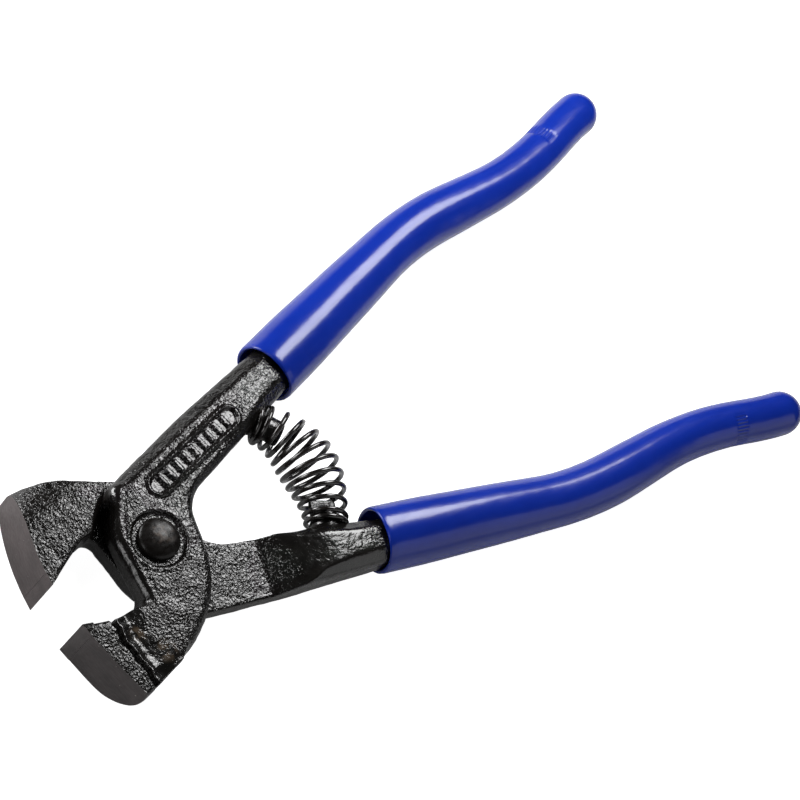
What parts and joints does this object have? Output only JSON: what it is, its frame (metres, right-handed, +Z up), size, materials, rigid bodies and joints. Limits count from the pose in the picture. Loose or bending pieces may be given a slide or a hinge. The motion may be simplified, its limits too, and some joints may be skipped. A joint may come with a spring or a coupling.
{
  "type": "tile nippers",
  "caption": "Hand tile nippers: crossed forged arms on a rivet, carbide-tipped jaws, a barrel return spring between the handles and dipped vinyl grips.",
  "frame": {"origin": "centre of the bounding box's underside, on the plane the tool lies on; the pivot is at x = -0.0694, y = 0", "axes": "+X from the jaws to the handle ends, +Y towards the front arm's handle, +Z up along the pivot"},
  "size_m": [0.1946, 0.0984, 0.015],
  "materials": {
    "painted_steel": "black crinkled paint over forged steel",
    "carbide": "ground, dark grey",
    "rivet_steel": "worn black paint",
    "spring_steel": "glossy black",
    "grip_vinyl": "glossy dipped vinyl, ultramarine blue"
  },
  "bodies": {
    "back_half": {"back_arm": "painted_steel", "back_carbide_tip": "carbide", "back_grip": "grip_vinyl", "pivot_rivet": "rivet_steel", "return_spring": "spring_steel"},
    "front_half": {"front_arm": "painted_steel", "front_carbide_tip": "carbide", "front_grip": "grip_vinyl"}
  },
  "joints": [
    {"name": "pivot", "type": "hinge", "parent": "back_half", "child": "front_half", "pos_m": [-0.0694, 0, 0.0075], "axis": [0, 0, -1], "range_deg": [0, 20.5], "stiffness_Nm_per_rad": 2.4, "deforming": ["return_spring"]}
  ]
}
